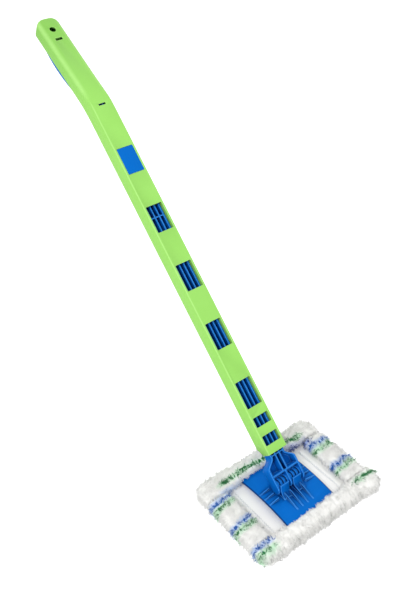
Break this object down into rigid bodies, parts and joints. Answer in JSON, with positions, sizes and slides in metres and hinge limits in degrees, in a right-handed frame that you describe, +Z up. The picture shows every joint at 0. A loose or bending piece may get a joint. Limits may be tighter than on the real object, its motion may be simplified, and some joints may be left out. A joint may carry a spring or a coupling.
{
  "type": "telescopic flat mop",
  "caption": "Flat floor mop: a plush pad on a snap-hinged plate, with a windowed telescopic handle that latches at set lengths.",
  "frame": {"origin": "on the floor, under the middle of the pad", "axes": "+X along the head's hinge axis, -Y the way the head points, with the handle rising behind it, +Z up from the floor"},
  "size_m": [0.19, 0.5684, 0.4654],
  "materials": {
    "lime_plastic": "satin injection moulded plastic",
    "blue_plastic": "satin injection moulded plastic",
    "plush": "deep plush pile, off-white with thin blue and green stripes",
    "pad_cloth": "plain white woven cloth"
  },
  "bodies": {
    "head": {"head_plate": "blue_plastic", "pad_face": "plush", "pad_core": "pad_cloth", "pad_backing": "pad_cloth", "front_pocket": "plush", "rear_pocket": "plush", "left_border": "plush", "right_border": "plush", "left_hem": "pad_cloth", "right_hem": "pad_cloth"},
    "arm": {"arm": "blue_plastic", "hinge_barrel_left": "blue_plastic", "hinge_barrel_right": "blue_plastic"},
    "handle": {"handle_tube": "lime_plastic", "grip_cover": "blue_plastic"},
    "latch": {"latch_tongue": "blue_plastic"}
  },
  "joints": [
    {"name": "head_tilt", "type": "hinge", "parent": "head", "child": "arm", "pos_m": [0, 0.001, 0.033], "axis": [1, 0, 0], "range_deg": [-33, 57]},
    {"name": "telescope", "type": "slide", "parent": "arm", "child": "handle", "axis": [0, 0.7278, 0.6858], "range_m": [0, 0.32], "deforming": ["latch_tongue"]},
    {"name": "latch_press", "type": "hinge", "parent": "arm", "child": "latch", "pos_m": [0, 0.35742, 0.37946], "axis": [1, 0, 0], "range_deg": [0, 3.5], "stiffness_Nm_per_rad": 6}
  ]
}
